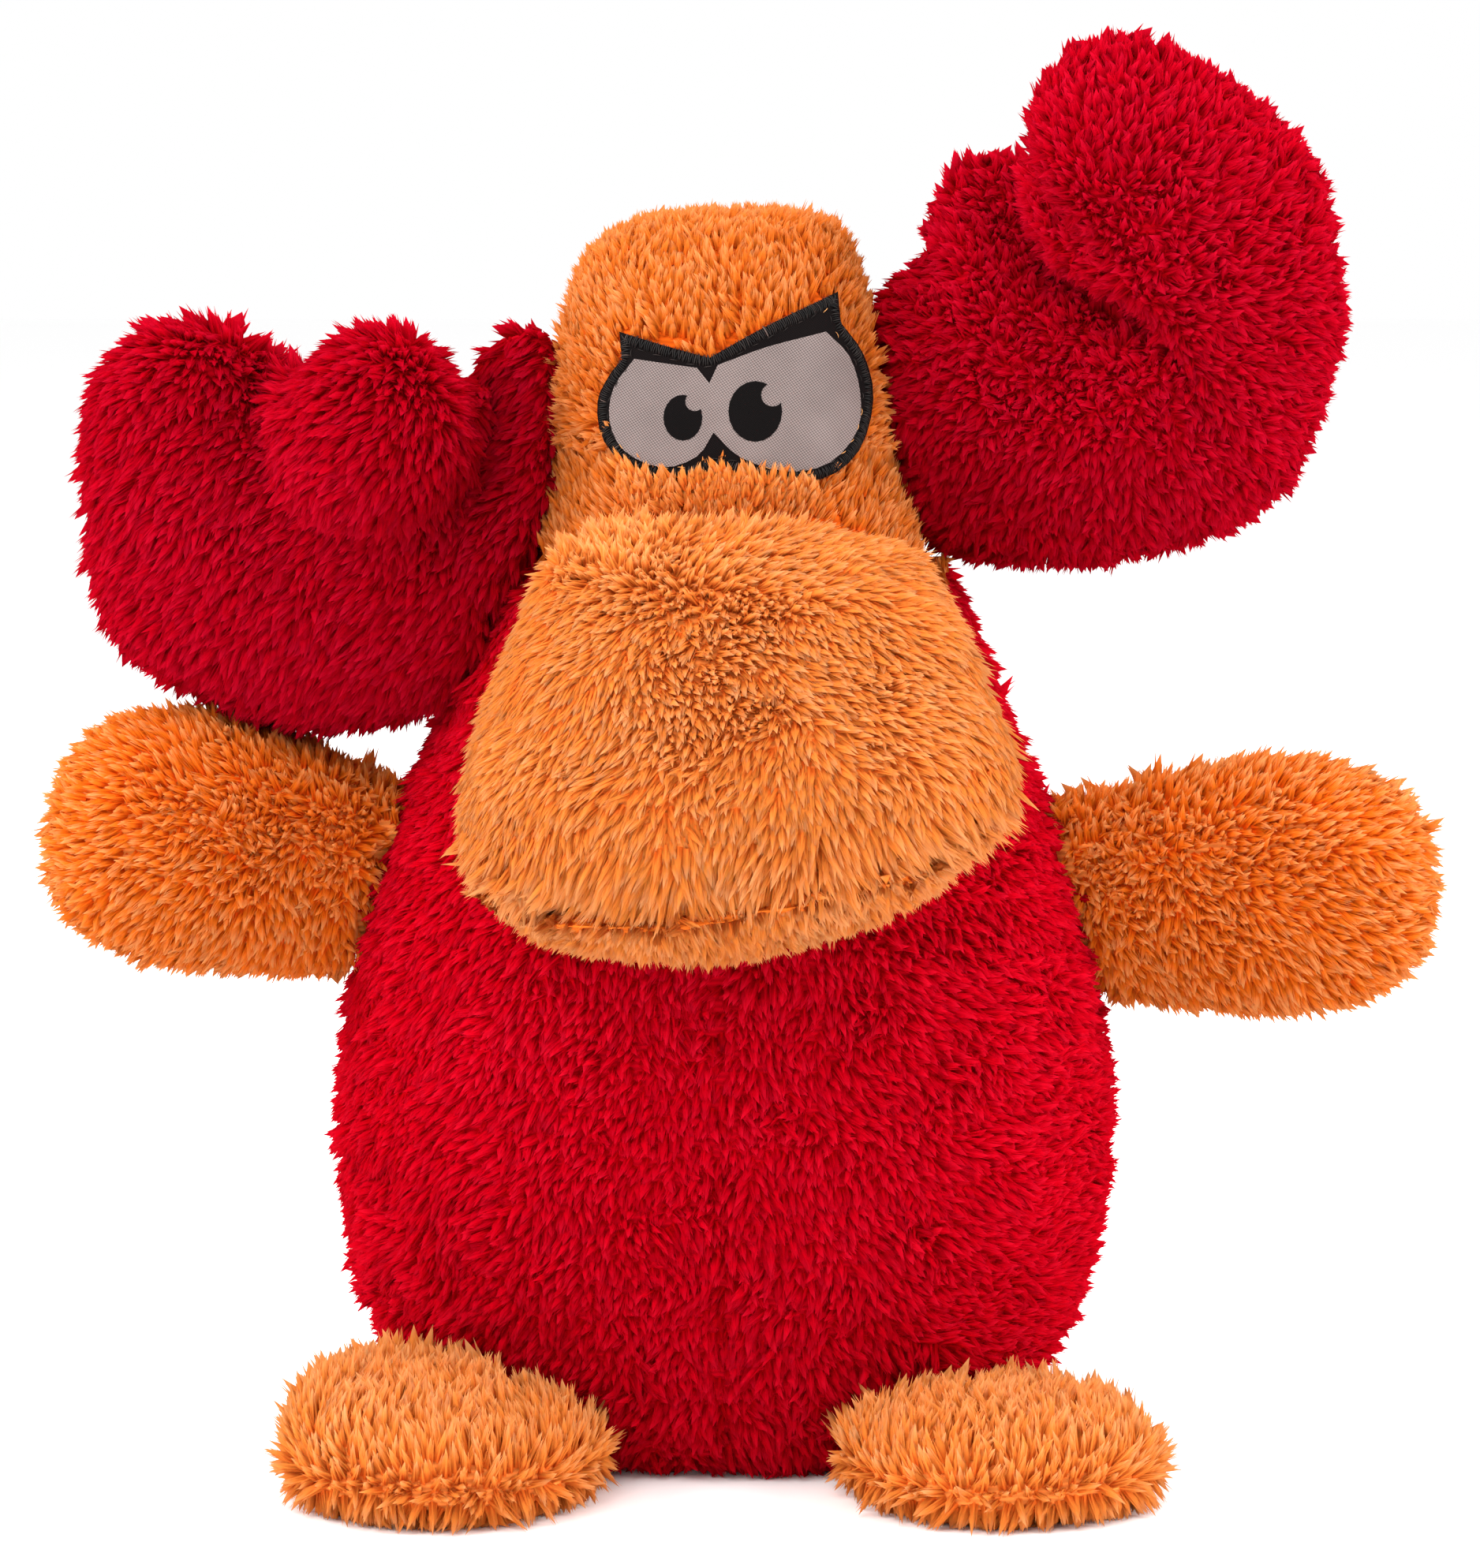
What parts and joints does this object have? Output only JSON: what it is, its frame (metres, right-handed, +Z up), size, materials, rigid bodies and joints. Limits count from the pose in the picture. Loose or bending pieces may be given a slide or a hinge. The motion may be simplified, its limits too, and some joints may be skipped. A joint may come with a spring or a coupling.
{
  "type": "plush moose dog toy",
  "caption": "Stuffed moose of red and orange pile fabric with broad lobed antlers, a drooping snout, mitten arms, oval feet and a woven eye patch.",
  "frame": {"origin": "middle of the torso's flat base, on the surface that the toy stands on", "axes": "+Z up, -Y the way the toy faces, +X the toy's left"},
  "size_m": [0.2725, 0.166, 0.2758],
  "materials": {
    "red_pile": "deep wool-like pile in short locks, matte",
    "orange_pile": "deep wool-like pile in short locks, matte",
    "black_weave": "plain black weave with a stitched edge",
    "grey_satin": "satin weave with a fine diagonal rib"
  },
  "bodies": {
    "root": {"torso": "red_pile", "head": "orange_pile", "muzzle": "orange_pile", "lower_jaw": "orange_pile", "right_arm": "orange_pile", "left_arm": "orange_pile", "right_foot": "orange_pile", "left_foot": "orange_pile", "right_antler": "red_pile", "left_antler": "red_pile", "eye_patch": "black_weave", "eye_whites": "grey_satin", "right_pupil": "black_weave", "left_pupil": "black_weave"}
  },
  "joints": []
}
